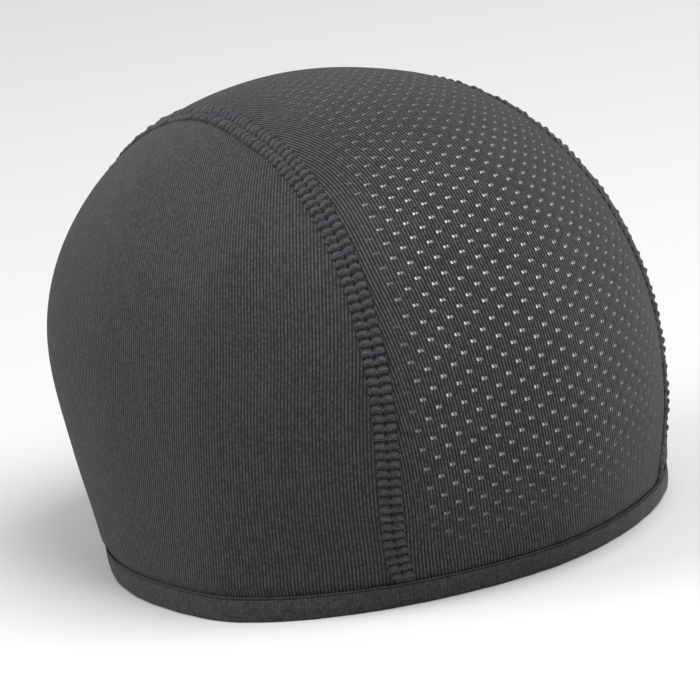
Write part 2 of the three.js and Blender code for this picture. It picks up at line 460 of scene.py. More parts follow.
def flat_ids(faces: list[list[int]]) -> np.ndarray:
    """All vertex numbers that a list of faces names."""
    return np.fromiter((i for face in faces for i in face), dtype=np.int64)


def on_side(points: np.ndarray, faces: list[list[int]], side: Side) -> tuple[np.ndarray, list[list[int]]]:
    """Puts a piece made for the cap's left on the side asked for.

    Args:
        points: one row for each vertex.
        faces: lists of vertex numbers.
        side: LEFT as they stand, or RIGHT mirrored, with the faces turned to point outwards again.

    Returns:
        The points and the faces.
    """
    if side is Side.LEFT:
        return points, faces
    return points * np.array([-1.0, 1.0, 1.0]), [face[::-1] for face in faces]


def lay_mesh(
    name: str, points: np.ndarray, faces: list[list[int]], weave: np.ndarray
) -> bpy.types.Object:
    """Makes an object at the origin from points in the dome's own frame.

    Args:
        name: the object's name.
        points: one row for each vertex.
        faces: lists of vertex numbers.
        weave: what the materials read at each vertex, three numbers each; the third carries the seam
            covers' painted shade and the crown's openness, which scales the light painted into its holes.

    Returns:
        The object, smooth, in the scene.
    """
    used = np.unique(flat_ids(faces))
    renumber = np.zeros(len(points), dtype=np.int64)
    renumber[used] = np.arange(len(used))
    mesh = bpy.data.meshes.new(name)
    mesh.from_pydata((points[used] + SHIFT).tolist(), [], [renumber[face].tolist() for face in faces])
    layer = mesh.attributes.new(WEAVE, "FLOAT_VECTOR", "POINT")
    layer.data.foreach_set("vector", weave[used].astype(np.float32).ravel())
    mesh.polygons.foreach_set("use_smooth", np.ones(len(mesh.polygons), dtype=bool))
    mesh.validate()
    mesh.update()
    piece = bpy.data.objects.new(name, mesh)
    bpy.context.scene.collection.objects.link(piece)
    return piece


@dataclass(frozen=True)
class Wall:
    """A closed wall between an outer and an inner grid of places that share their vertex numbers."""

    ids: np.ndarray
    outer: np.ndarray
    inner: np.ndarray
    weave: np.ndarray

    def lay(self, name: str, side: Side) -> bpy.types.Object:
        """Makes the wall's mesh, on the side of the cap asked for.

        Args:
            name: the object's name.
            side: LEFT as it stands, or RIGHT mirrored.

        Returns:
            The object.
        """
        count = self.outer.shape[0] * self.outer.shape[1]
        points = np.concatenate([self.outer.reshape(-1, 3), self.inner.reshape(-1, 3)])
        weave = np.concatenate([self.weave.reshape(-1, 3)] * 2)
        faces = grid_faces(self.ids) + [face[::-1] for face in grid_faces(self.ids + count)]
        loop = border(self.ids)
        faces += rim_faces(loop, loop + count)
        points, faces = on_side(points, faces, side)
        return lay_mesh(name, points, faces, weave)


def plain_ids(rows: int, columns: int) -> np.ndarray:
    """Vertex numbers of a grid, row by row."""
    return np.arange(rows * columns).reshape(rows, columns)


@dataclass(frozen=True)
class Eyelets:
    """The crown's small holes: pairs of short slots between ribs, each column staggered by half a step."""

    rib_pitch: float = 0.845 * MM
    ribs_in_column: int = 4
    row_pitch: float = 4.7 * MM
    half_width: float = 0.38 * MM
    half_length: float = 0.52 * MM
    floor_share: float = 0.55
    depth: float = 0.65 * MM
    closed_at_seam: float = 2.5 * MM
    open_from_seam: float = 15 * MM
    closed_at_hem: float = 8 * MM
    open_from_hem: float = 66 * MM
    closing_from: float = 108 * MM
    closing_to: float = 142 * MM
    closing: float = 0.8

    @property
    def column_pitch(self) -> float:
        """The distance between columns, so that each stands on the same rib as the next."""
        return self.rib_pitch * self.ribs_in_column

    def hollow(self, across: np.ndarray, along: np.ndarray) -> np.ndarray:
        """How far into a hole each place lies, from 0 on the cloth to 1 on the hole's floor.

        Args:
            across: distance across the ribs.
            along: distance along the ribs.

        Returns:
            A smooth fall from 1 to 0 with the oval distance from the nearest hole's middle.
        """
        column = np.round(across / self.column_pitch)
        beside = np.abs(across - column * self.column_pitch) - self.rib_pitch / 2
        shifted = along - np.mod(column, 2) * self.row_pitch / 2
        beyond = shifted - np.round(shifted / self.row_pitch) * self.row_pitch
        distance = np.hypot(beside / self.half_width, beyond / self.half_length)
        return 1.0 - smooth_step(self.floor_share, 1.0, distance)

    def openness(self, from_seam: np.ndarray, from_hem: np.ndarray) -> np.ndarray:
        """How far the knit is stretched open, from 0 beside a seam or the hem to 1 farther off.

        Args:
            from_seam: distance from the nearer seam.
            from_hem: distance from the nearer hem.

        Returns:
            The product of three smooth steps, of which the last closes most of each hole over the top.
        """
        beside = smooth_step(self.closed_at_seam, self.open_from_seam, from_seam)
        above = smooth_step(self.closed_at_hem, self.open_from_hem, from_hem)
        over_top = smooth_step(self.closing_from, self.closing_to, from_hem)
        return beside * above * (1.0 - self.closing * over_top)

    def lines_across(self, reach: float) -> np.ndarray:
        """Where the mesh needs lines across the panel, so that each hole has a rim and a floor.

        Args:
            reach: how far across the knit the lines go, to both sides.

        Returns:
            The distances across the knit, rising.
        """
        rim, floor = self.half_width, self.half_width * self.floor_share
        middle = self.rib_pitch / 2
        around = np.array([middle - rim, middle - floor, middle + floor, middle + rim])
        columns = math.ceil(reach / self.column_pitch)
        centres = np.arange(-columns, columns + 1) * self.column_pitch
        return np.sort((centres[:, None] + np.concatenate([-around, around])).ravel())

    def lines_along(self, length: float) -> np.ndarray:
        """Where the mesh needs lines along the panel, at both stagger places.

        Args:
            length: the knit's own length.

        Returns:
            The distances along the knit, rising.
        """
        step = self.row_pitch / 2
        centres = np.arange(0, math.ceil(length / step) + 1) * step
        lines = (centres[:, None] + np.array([-self.half_length, 0.0, self.half_length])).ravel()
        return np.unique(np.clip(lines, 0.0, length))


@dataclass(frozen=True)
class CrownStretch:
    """How the crown's knit is stretched when it is worn: most at both hems, and least over the top.

    Its ribs stand a little wider apart towards the seams, and drift to the cap's left at the front.
    """

    along: float = 0.2
    narrow_top: float = 0.86
    wide_to: float = 88 * MM
    narrow_from: float = 140 * MM
    fan: float = 24.5
    front_drift: float = 12 * MM
    drift_run: float = 62 * MM
    drift_power: float = 1.6
    reach: float = 90 * MM
    trials: int = 1801

    def knit_along(self, run: np.ndarray, length: float) -> np.ndarray:
        """The knit's own distance for a run along the panel: run - along L / (2 pi) sin(2 pi run / L)."""
        wave = length / (2 * math.pi)
        return run - self.along * wave * np.sin(run / wave)

    def width(self, run: np.ndarray, length: float) -> np.ndarray:
        """The share by which the knit is widened at a run along the panel, alike from both hems."""
        near = np.minimum(run, length - run)
        return 1.0 - (1.0 - self.narrow_top) * smooth_step(self.wide_to, self.narrow_from, near)

    def drift(self, run: np.ndarray) -> np.ndarray:
        """How far the ribs have drifted towards +X at a run from the front hem: d (1 - run / r)^power."""
        return self.front_drift * np.maximum(1.0 - run / self.drift_run, 0.0) ** self.drift_power

    def laid(self, knit: np.ndarray) -> np.ndarray:
        """The arc across the panel that a distance across the knit takes: k + fan k³."""
        return knit + self.fan * knit**3

    def knit(self, arc: np.ndarray) -> np.ndarray:
        """The distance across the knit that takes an arc across the panel, as laid works it out."""
        trial = np.linspace(-self.reach, self.reach, self.trials)
        return np.interp(arc, self.laid(trial), trial)


@dataclass(frozen=True)
class CrownLay:
    """The crown's cloth laid over the dome, by distances measured on the dome itself.

    A place is found by its run along the panel and its arc across it. Arcs are measured on half-planes
    swung about X, and runs along lines of one arc, with the far ends drawn level at the back hem.
    """

    turns: int = 481
    reach: float = 60 * MM
    columns: int = 61

    def tables(self) -> tuple[np.ndarray, np.ndarray, np.ndarray, np.ndarray]:
        """Works out the lay once.

        Returns:
            The swings, the arcs, and for each swing and arc its X and its run.
        """
        swing = np.linspace(0.0, math.pi, self.turns)
        middle = DOME.swung(np.zeros(swing.shape), swing)
        swing = swing[middle[:, 2] >= CLOTH.edge_height]
        x = np.linspace(0.0, self.reach, self.columns)
        places = DOME.swung(x[None, :], swing[:, None])
        steps = np.linalg.norm(np.diff(places, axis=1), axis=-1)
        arcs = np.concatenate([np.zeros((len(swing), 1)), np.cumsum(steps, axis=1)], axis=1)
        arc = np.linspace(0.0, self.reach, self.columns)
        x_of_arc = np.array([np.interp(arc, row, x) for row in arcs])
        lines = DOME.swung(x_of_arc, swing[:, None])
        steps = np.linalg.norm(np.diff(lines, axis=0), axis=-1)
        run = np.concatenate([np.zeros((1, len(arc))), np.cumsum(steps, axis=0)], axis=0)
        lag = run[-1, 0] - run[-1]
        run = run + lag[None, :] * smooth_step(math.pi / 2, math.pi, swing)[:, None]
        return swing, arc, x_of_arc, run


@dataclass(frozen=True)
class CrownPanel:
    """The pierced panel from the front hem over the crown to the back hem."""

    eyelets: Eyelets = field(default_factory=Eyelets)
    stretch: CrownStretch = field(default_factory=CrownStretch)
    lay: CrownLay = field(default_factory=CrownLay)
    tucked_under_seam: float = 0.5 * MM
    inner_columns: int = 12
    edge_trials: int = 721
    run_trials: int = 4001

    def edge(self, angle: np.ndarray) -> np.ndarray:
        """Where the panel ends, just under the seam's cover.

        Args:
            angle: the swings of half-planes about X.

        Returns:
            The X of the panel's edge on each.
        """
        trial = np.linspace(0.0, math.pi, self.edge_trials)
        inboard = self.tucked_under_seam - SEAM.cover_width / 2
        edge = SEAM.beside(trial, np.full(trial.shape, inboard))
        swing = np.arctan2(np.abs(edge[:, 2]), -edge[:, 1])
        return np.interp(angle, swing, edge[:, 0])

    def build(self) -> bpy.types.Object:
        """Makes the panel: a fine outer face with holes, a plain inner face and the edges between.

        Its lines follow the knit, which the stretch narrows and widens. Those that reach past the
        panel's edge are gathered into one vertex on that edge.

        Returns:
            The panel's object.
        """
        swing, arc, x_of_arc, run = self.lay.tables()
        length = float(run[-1, 0])
        trial = np.linspace(0.0, length, self.run_trials)
        knit_trial = self.stretch.knit_along(trial, length)
        along = self.eyelets.lines_along(float(knit_trial[-1]))
        rows = np.interp(along, knit_trial, trial)
        swings = np.stack([np.interp(rows, run[:, a], swing) for a in range(len(arc))], axis=1)
        xs = np.stack([np.interp(swings[:, a], swing, x_of_arc[:, a]) for a in range(len(arc))], axis=1)
        past = xs - self.edge(swings)
        edge = np.array([np.interp(0.0, row, arc) for row in past])

        width = self.stretch.width(rows, length)[:, None]
        drift = self.stretch.drift(rows)[:, None]
        widest = float(((edge[:, None] + drift) / width).max())
        lines = self.eyelets.lines_across(float(self.stretch.knit(np.array(widest))))
        wanted = self.stretch.laid(lines)[None, :] * width + drift
        across = np.clip(wanted, -edge[:, None], edge[:, None])
        inside = np.abs(wanted) < edge[:, None]
        first = inside.argmax(axis=1) - 1
        last = inside.shape[1] - inside[:, ::-1].argmax(axis=1)
        number = np.clip(np.arange(len(lines))[None, :], first[:, None], last[:, None])
        ids = np.arange(len(along))[:, None] * len(lines) + number

        def places(arcs: np.ndarray) -> np.ndarray:
            """The dome's points in each row.

            Args:
                arcs: signed arcs across the panel, a row of them for each row.

            Returns:
                The points.
            """
            size = np.abs(arcs)
            turn = np.array([np.interp(a, arc, row) for a, row in zip(size, swings)])
            x = np.array([np.interp(a, arc, row) for a, row in zip(size, xs)])
            return DOME.swung(x * np.sign(arcs), turn)

        knit_across = self.stretch.knit((across - drift) / width)
        from_hem = np.minimum(rows, length - rows)[:, None]
        opened = self.eyelets.openness(edge[:, None] - np.abs(across), from_hem)
        hollow = self.eyelets.hollow(knit_across, along[:, None]) * opened
        outer = CLOTH.sunk(places(across), hollow * self.eyelets.depth)
        inner_across = edge[:, None] * np.linspace(-1.0, 1.0, self.inner_columns + 1)[None, :]
        inner = CLOTH.sunk(places(inner_across), np.full(inner_across.shape, CLOTH.wall))
        inner_ids = plain_ids(*inner.shape[:2]) + across.size

        faces = grid_faces(ids) + [face[::-1] for face in grid_faces(inner_ids)]
        for outside, within in ((ids[:, 0], inner_ids[:, 0]), (ids[::-1, -1], inner_ids[::-1, -1])):
            sides = np.stack([outside[:-1], outside[1:], within[1:], within[:-1]], axis=-1)
            faces += sides.tolist()
        for outside, within in ((ids[0, ::-1], inner_ids[0]), (ids[-1], inner_ids[-1, ::-1])):
            ring = outside[np.concatenate([[True], outside[1:] != outside[:-1]])]
            faces.append(ring.tolist() + within.tolist())
        knit_row = np.broadcast_to(along[:, None], across.shape)
        # The third number is the openness, which also scales the light painted into the holes.
        weave = np.stack([knit_across / MM, knit_row / MM, opened], axis=-1)
        inner_row = np.broadcast_to(along[:, None], inner_across.shape)
        inner_knit = self.stretch.knit((inner_across - drift) / width)
        inner_weave = np.stack([inner_knit / MM, inner_row / MM, 0 * inner_row], axis=-1)
        points = np.concatenate([outer.reshape(-1, 3), inner.reshape(-1, 3)])
        weave = np.concatenate([weave.reshape(-1, 3), inner_weave.reshape(-1, 3)])
        return lay_mesh("pierced_crown", points, faces, weave)


@dataclass(frozen=True)
class RibCourse:
    """Where the side panels' ribs run: upright when worn, and straightest just in front of the middle."""

    plain_at: float = -21 * MM
    plain_height: float = 40 * MM
    lean: float = 0.09
    bow: float = 57.0
    levels: int = 60
    turns: int = 241
    top_share: float = 0.985
    last_cell: float = 1.001

    def weave(self, points: np.ndarray) -> np.ndarray:
        """The distances across and along the ribs at places on the +X side.

        Across the ribs is the run along a level line from one rib, which leans forward a little and
        then bows back with the cube of its height. Along them is the run up the side.

        Args:
            points: places on the dome.

        Returns:
            Both distances in millimetres, and a zero.
        """
        z = np.linspace(0.0, DOME.height * self.top_share, self.levels)
        azimuth = np.linspace(0.0, math.pi, self.turns)
        table = DOME.at_height(z[:, None], azimuth[None, :])
        steps = np.linalg.norm(np.diff(table, axis=1), axis=-1)
        run = np.concatenate([np.zeros((self.levels, 1)), np.cumsum(steps, axis=1)], axis=1)
        above = z - self.plain_height
        rib = self.plain_at - self.lean * above + self.bow * np.maximum(above, 0.0) ** 3
        start = np.array([np.interp(y, row, level) for y, row, level in zip(rib, table[..., 1], run)])
        run = run - start[:, None]
        side = table[:, self.turns // 2]
        climb = np.concatenate([[0.0], np.cumsum(np.linalg.norm(np.diff(side, axis=0), axis=1))])

        row = np.clip(points[..., 2] / z[-1] * (self.levels - 1), 0.0, self.levels - self.last_cell)
        turn = np.arctan2(points[..., 0], -points[..., 1]) / math.pi * (self.turns - 1)
        column = np.clip(turn, 0.0, self.turns - self.last_cell)
        i, j = row.astype(int), column.astype(int)
        s, t = row - i, column - j
        low = run[i, j] * (1 - t) + run[i, j + 1] * t
        high = run[i + 1, j] * (1 - t) + run[i + 1, j + 1] * t
        across = (low * (1 - s) + high * s) / MM
        along = np.interp(points[..., 2], z, climb) / MM
        return np.stack([across, along, np.zeros(across.shape)], axis=-1)


@dataclass(frozen=True)
class SidePanel:
    """A ribbed panel on one side of the cap, between the hem and a seam."""

    side: Side
    ribs: RibCourse = field(default_factory=RibCourse)
    tucked_under_seam: float = 0.5 * MM
    columns: int = 181
    rows: int = 96
    crowding: float = 1.25

    def build(self) -> bpy.types.Object:
        """Makes the panel as a fan of rows between the hem and the seam.

        A row's places lie a share of the way on straight lines from the hem to the seam, carried out to
        the dome. All rows meet at the two ends.

        Returns:
            The panel's object.
        """
        angle = SEAM.even_angles(CLOTH.edge_height, self.columns)
        outboard = SEAM.cover_width / 2 - self.tucked_under_seam
        high = SEAM.beside(angle, np.full(angle.shape, outboard))
        ends = np.arctan2(high[[0, -1], 0], -high[[0, -1], 1])
        turn = (1.0 - np.cos(np.linspace(0.0, math.pi, self.columns))) / 2
        low = DOME.at_height(CLOTH.edge_height, ends[0] + (ends[1] - ends[0]) * turn)
        share = np.linspace(0.0, 1.0, self.rows) ** self.crowding
        places = DOME.towards(low[None] + (high - low)[None] * share[:, None, None])
        ids = plain_ids(self.rows, self.columns)
        ids[:, 0] = ids[0, 0]
        ids[:, -1] = ids[0, -1]
        outer = CLOTH.sunk(places, np.zeros(places.shape[:-1]))
        inner = CLOTH.sunk(places, np.full(places.shape[:-1], CLOTH.wall))
        wall = Wall(ids, outer, inner, self.ribs.weave(places))
        return wall.lay(f"ribbed_side_{self.side.name.lower()}", self.side)


@dataclass(frozen=True)
class SeamStitches:
    """The beat of a flat seam's stitches, and where its needles went through."""

    length: float = 2.55 * MM
    needle_inset: float = 0.45 * MM
    swelling_run: float = 1 * MM

    @property
    def full_height(self) -> float:
        """The height above the hem from which the stitches stand at their full size."""
        return CLOTH.clear_height + self.swelling_run

    @property
    def count(self) -> int:
        """How many whole stitches a seam has."""
        return round(SEAM.length(CLOTH.edge_height) / self.length)

    @property
    def needle_lines(self) -> tuple[float, float, float]:
        """The distances of the needle lines from the seam's middle."""
        side = SEAM.cover_width / 2 - self.needle_inset
        return (-side, 0.0, side)


@dataclass(frozen=True)
class SeamCover:
    """A flat seam: two rows of padded stitches with needle holes along both edges and the middle."""

    side: Side
    stitches: SeamStitches = field(default_factory=SeamStitches)
    rise: float = 0.8 * MM
    lobe_power: float = 0.6
    furrow: float = 0.2
    furrow_share: float = 0.5
    pinch: float = 0.85
    pinch_power: int = 3
    bow: float = 0.16
    uneven: float = 0.34
    seed: int = 11
    hole_depth: float = 0.5 * MM
    hole_half_length: float = 0.65 * MM
    hole_half_width: float = 0.45 * MM
    hole_reach: float = 1.3
    spread: float = 0.25 * MM
    dive_inset: float = 0.1 * MM
    under_panels: float = 0.1 * MM
    valley_width: float = 0.3 * MM
    brink_width: float = 0.55 * MM
    gap_shade: float = 0.8
    gap_power: int = 6
    brink_shade: float = 0.95
    columns: int = 29
    rows_in_stitch: int = 8

    def build(self) -> bpy.types.Object:
        """Makes the cover as a strip of cloth that is padded between its stitches.

        Across it the height is two half waves, |sin(pi share)| to a power, with a furrow between. Along
        it each stitch swells as 1 - pinch |cos(pi beat)|³, a little unevenly, and its beat is bowed by
        cos²(pi share). At its ends the needle holes are sunk as smooth pits. The material gets the shade
        of the pits, the gaps between stitches, the middle furrow and the two edges.

        Returns:
            The cover's object.
        """
        half = SEAM.cover_width / 2
        rows = self.stitches.count * self.rows_in_stitch + 1
        angle = SEAM.even_angles(CLOTH.edge_height, rows)
        beat = np.arange(rows) / self.rows_in_stitch
        share = np.linspace(-1.0, 1.0, self.columns)
        distance = share * (half + self.spread)
        grid_angle, grid_distance = np.broadcast_arrays(angle[:, None], distance[None, :])
        places = SEAM.beside(grid_angle, grid_distance)

        lobes = np.abs(np.sin(math.pi * share)) ** self.lobe_power
        body = np.maximum(lobes, self.furrow * (np.abs(share) < self.furrow_share))
        bowed = beat[:, None] + self.bow * np.cos(math.pi * share)[None, :] ** 2
        swell = 1.0 - self.pinch * np.abs(np.cos(math.pi * bowed)) ** self.pinch_power
        random = np.random.default_rng(self.seed + self.side.value)
        vary = 1.0 + self.uneven * random.uniform(-1.0, 1.0, (self.stitches.count + 1, 2))
        cell = np.minimum(bowed.astype(int), self.stitches.count)
        padded = body[None, :] * swell * vary[cell, (share > 0).astype(int)[None, :]]
        to_hole = np.abs(bowed - np.round(bowed)) * self.stitches.length
        pits = np.zeros(places.shape[:-1])
        for line in self.stitches.needle_lines:
            along = to_hole / self.hole_half_length
            beside = (distance - line)[None, :] / self.hole_half_width
            pits = np.maximum(pits, 1.0 - smooth_step(0.0, self.hole_reach, np.hypot(along, beside)))
        shown = smooth_step(CLOTH.clear_height, self.stitches.full_height, places[..., 2])
        edge_dive = smooth_step(half - self.dive_inset, half + self.spread, np.abs(distance))[None, :]
        height = self.rise * padded * shown - self.hole_depth * pits * shown
        height = height * (1 - edge_dive) - self.spread * edge_dive
        outer = CLOTH.sunk(places, -height)
        inner = CLOTH.sunk(places, np.full(places.shape[:-1], CLOTH.wall + self.under_panels))
        # Painted shade: the gaps between stitches, the middle furrow, the two edges and the needle pits, as
        # a mask that the seam thread's material darkens.
        between = self.gap_shade * np.abs(np.cos(math.pi * bowed)) ** self.gap_power
        valley = self.gap_shade * np.exp(-((distance / self.valley_width) ** 2))
        brink = self.brink_shade * smooth_step(half - self.brink_width, half, np.abs(distance))
        shade = np.maximum(np.maximum(between, np.maximum(valley, brink)[None, :]), pits)
        weave = np.stack(np.broadcast_arrays(distance[None, :] / MM, beat[:, None], shade * shown), axis=-1)
        wall = Wall(plain_ids(rows, self.columns), outer, inner, weave)
        return wall.lay(f"seam_cover_{self.side.name.lower()}", self.side)


@dataclass(frozen=True)
class NeedleThreads:
    """The small loops of thread that come up beside a flat seam's needle holes."""

    side: Side
    stitches: SeamStitches = field(default_factory=SeamStitches)
    half_length: float = 0.42 * MM
    ahead: float = 0.85 * MM
    lean: float = 0.25 * MM
    lean_signs: tuple[float, float, float] = (1.0, -1.0, 1.0)
    radius: float = 0.2 * MM
    thinning: float = 0.85
    thinning_power: int = 8
    arch: float = 0.42 * MM
    sunk_ends: float = 0.25 * MM
    steps: int = 5
    sides: int = 6

    def build(self) -> bpy.types.Object:
        """Makes every loop of the seam as a thin bent tube with closed ends.

        A loop's middle line runs a share t from -1 to 1: along the seam as t, leaning across it as t,
        and up as arch (1 - t²), less sunk_ends t². Its radius is full over most of the loop and thins
        quickly at both ends, as sqrt(1 - thinning t⁸).

        Returns:
            The loops' object.
        """
        stations = SEAM.even_angles(CLOTH.edge_height, self.stitches.count + 1)
        stations = stations[SEAM.points(stations)[:, 2] > self.stitches.full_height]
        beat = np.gradient(stations) / self.stitches.length
        t = np.linspace(-1.0, 1.0, self.steps)
        lines = np.array(self.stitches.needle_lines)
        lean = self.lean * np.array(self.lean_signs)
        swing = stations[:, None, None] + beat[:, None, None] * (self.half_length * t + self.ahead)
        across = lines[None, :, None] + lean[None, :, None] * t
        swing, across = np.broadcast_arrays(swing, across)
        places = SEAM.beside(swing, across)
        rise = self.arch * (1.0 - t**2) - self.sunk_ends * t**2
        middle = CLOTH.sunk(places, -np.broadcast_to(rise, across.shape))
        course = unit(np.gradient(middle, axis=-2))
        out = DOME.normals(places)
        beside = unit(np.cross(course, out))
        out = np.cross(beside, course)
        turn = np.linspace(0.0, 2 * math.pi, self.sides, endpoint=False)
        radius = self.radius * np.sqrt(1.0 - self.thinning * np.abs(t) ** self.thinning_power)
        ring = np.cos(turn)[:, None] * beside[..., None, :] + np.sin(turn)[:, None] * out[..., None, :]
        points = middle[..., None, :] + ring * radius[:, None, None]

        count = len(stations) * len(lines)
        tube = plain_ids(self.steps, self.sides)
        tube = np.concatenate([tube, tube[:, :1]], axis=1)
        faces = np.array(grid_faces(tube))
        size = self.steps * self.sides
        starts = np.arange(count) * size
        body = (starts[:, None, None] + faces[None, :, ::-1]).reshape(-1, 4)
        caps = (starts[:, None] + tube[0, :-1]).tolist()
        caps += (starts[:, None] + tube[-1, -2::-1]).tolist()
        points, faces = on_side(points.reshape(-1, 3), body.tolist() + caps, self.side)
        along = np.broadcast_to(t[None, None, :, None], (*across.shape, self.sides)).reshape(-1)
        weave = np.stack([along, along, 0 * along], axis=-1)
        return lay_mesh(f"needle_threads_{self.side.name.lower()}", points, faces, weave)


@dataclass(frozen=True)
class HemBand:
    """The narrow band folded round the panels' lower edges, with a thin rolled edge along its top."""

    stations: int = 720
    fold: float = 0.7 * MM
    tuck: float = 1.5 * MM
    tuck_depth: float = 0.75 * MM
    roll: float = 0.55 * MM
    sunk: float = 0.4 * MM
    groove_depth: float = 0.55 * MM
    under_roll: float = 0.1 * MM
    groove_middle: float = 0.15 * MM
    groove_height: float = 0.3 * MM
    bulge: float = 0.2 * MM
    bulge_power: float = 0.6
    face_rows: int = 18
    turn_rows: int = 7
    slot_shares: tuple[float, float] = (0.35, 0.7)
    waver: float = 0.12 * MM
    waver_waves: tuple[int, int] = (23, 41)
    waver_phase: float = 1.0

    def section(self) -> np.ndarray:
        """The band's section as depths into the cloth and heights, round the outside and the slot.

        The face bulges as a half wave to a power, and turns in below as a quarter of an oval. Above it
        are a groove and a rolled edge, which is half a circle.

        Returns:
            One row of depth and height for each point, in order.
        """
        ply, height = CLOTH.band_ply, CLOTH.band_height
        full = 2 * ply + CLOTH.wall + 2 * CLOTH.gap
        turn = np.linspace(0.0, math.pi / 2, self.turn_rows)
        radius = self.roll / 2
        roll = np.stack([
            self.sunk + radius * (1.0 - np.sin(2 * turn)), height - radius * (1.0 - np.cos(2 * turn)),
        ], axis=-1)
        groove_top = height - self.roll - self.under_roll
        groove = np.array([[self.sunk + self.groove_depth, groove_top - self.groove_middle]])
        t = np.linspace(0.0, 1.0, self.face_rows)
        face_z = groove_top - self.groove_height + (self.tuck - groove_top + self.groove_height) * t
        face = np.stack([self.sunk - self.bulge * np.sin(math.pi * t) ** self.bulge_power, face_z], axis=-1)
        under = np.stack([
            self.sunk + self.tuck_depth * (1.0 - np.cos(turn)), self.tuck * (1.0 - np.sin(turn)),
        ], axis=-1)[1:]
        inner_depth = full - self.fold * (1 - np.sin(turn))
        inner_fold = np.stack([inner_depth, self.fold * (1 - np.cos(turn))], axis=-1)
        slot = np.array([
            *([full, height * share] for share in self.slot_shares), [full, height], [full - ply, height],
            [full - ply, ply], [ply, ply], [ply, height - self.roll],
        ])
        return np.concatenate([roll, groove, face, under, inner_fold, slot])

    def build(self) -> bpy.types.Object:
        """Makes the band by carrying its section round the hem as one closed loop.

        The whole section wavers a little, in and out, as the mean of two sine waves round the hem.

        Returns:
            The band's object.
        """
        section = self.section()
        azimuth = np.linspace(0.0, 2 * math.pi, self.stations, endpoint=False)
        depth, z = section[:, 0], section[:, 1]
        places = DOME.at_height(z[None, :], azimuth[:, None])
        level = unit(DOME.normals(places) * np.array([1.0, 1.0, 0.0]))
        slow, quick = self.waver_waves
        waver = self.waver * (np.sin(azimuth * slow) + np.sin(azimuth * quick + self.waver_phase)) / 2
        points = places - level * (depth[None, :] + waver[:, None])[..., None]
        ids = plain_ids(*places.shape[:2])
        ids = np.concatenate([ids, ids[:1]], axis=0)
        ids = np.concatenate([ids, ids[:, :1]], axis=1)
        hem = places[:, 0]
        step = np.linalg.norm(np.diff(np.concatenate([hem, hem[:1]]), axis=0), axis=1)
        run = np.concatenate([[0.0], np.cumsum(step)[:-1]])
        weave = np.stack(np.broadcast_arrays(run[:, None] / MM, z[None, :] / MM, 0.0), axis=-1)
        return lay_mesh("bound_hem", points.reshape(-1, 3), grid_faces(ids), weave.reshape(-1, 3))


class Tree:
    """A node tree under construction, with short calls for the nodes that this script uses."""

    def __init__(self, nodes: bpy.types.NodeTree) -> None:
        """Wraps an empty node tree."""
        self.nodes = nodes

    def add(self, kind: str, **settings: object) -> bpy.types.Node:
        """Adds a node and sets its properties.

        Args:
            kind: the node's type.
            **settings: its properties by name.

        Returns:
            The node.
        """
        node = self.nodes.nodes.new(kind)
        for name, value in settings.items():
            setattr(node, name, value)
        return node

    def feed(self, socket: bpy.types.NodeSocket, value: object) -> None:
        """Gives an input a fixed value, or links it to an output.

        Args:
            socket: the input.
            value: an output, or what the input takes as its own value.
        """
        if isinstance(value, bpy.types.NodeSocket):
            self.nodes.links.new(value, socket)
        else:
            socket.default_value = value

    def math(self, operation: str, *values: object) -> bpy.types.NodeSocket:
        """Adds a Math node.

        Args:
            operation: what it works out.
            *values: an output or a number for each of its inputs, in order.

        Returns:
            Its output.
        """
        node = self.add("ShaderNodeMath", operation=operation)
        for socket, value in zip(node.inputs, values):
            self.feed(socket, value)
        return node.outputs[0]

    def ramp(self, value: object, low: object, high: object) -> bpy.types.NodeSocket:
        """Adds a smooth step from 0 at low to 1 at high.

        Args:
            value: what is stepped.
            low: where the step starts.
            high: where it ends.

        Returns:
            Its output.
        """
        node = self.add("ShaderNodeMapRange", interpolation_type="SMOOTHSTEP")
        for name, given in (("Value", value), ("From Min", low), ("From Max", high)):
            self.feed(node.inputs[name], given)
        return node.outputs["Result"]

    def mix(self, share: object, first: object, second: object) -> bpy.types.NodeSocket:
        """Adds a colour mix.

        Args:
            share: how much of the second colour there is, from 0 to 1.
            first: the colour at 0.
            second: the colour at 1.

        Returns:
            Its output.
        """
        node = self.add("ShaderNodeMix", data_type="RGBA")
        for socket, value in zip((node.inputs[0], node.inputs[6], node.inputs[7]), (share, first, second)):
            self.feed(socket, value)
        return node.outputs[2]

    def group(self, tree: bpy.types.NodeTree, **values: object) -> bpy.types.Node:
        """Adds a shared group and feeds its inputs.

        Args:
            tree: the group.
            **values: an output or a value for each input, whose name has spaces for underscores.

        Returns:
            The group's node.
        """
        node = self.add("ShaderNodeGroup", node_tree=tree)
        for name, value in values.items():
            self.feed(node.inputs[name.replace("_", " ")], value)
        return node


def new_group(name: str, inputs: dict[str, str], outputs: dict[str, str]) -> tuple[Tree, dict, dict]:
    """Starts a shared shader group.

    Args:
        name: the group's name.
        inputs: the type of each input socket by name.
        outputs: the type of each output socket by name.

    Returns:
        The tree, the sockets that bring the inputs in, and the sockets that take the outputs.
    """
    nodes = bpy.data.node_groups.new(name, "ShaderNodeTree")
    for way, sockets in (("INPUT", inputs), ("OUTPUT", outputs)):
        for socket, kind in sockets.items():
            nodes.interface.new_socket(socket, in_out=way, socket_type=f"NodeSocket{kind}")
    tree = Tree(nodes)
    entry = tree.add("NodeGroupInput")
    leaving = tree.add("NodeGroupOutput")
    return tree, {key: entry.outputs[key] for key in inputs}, {key: leaving.inputs[key] for key in outputs}


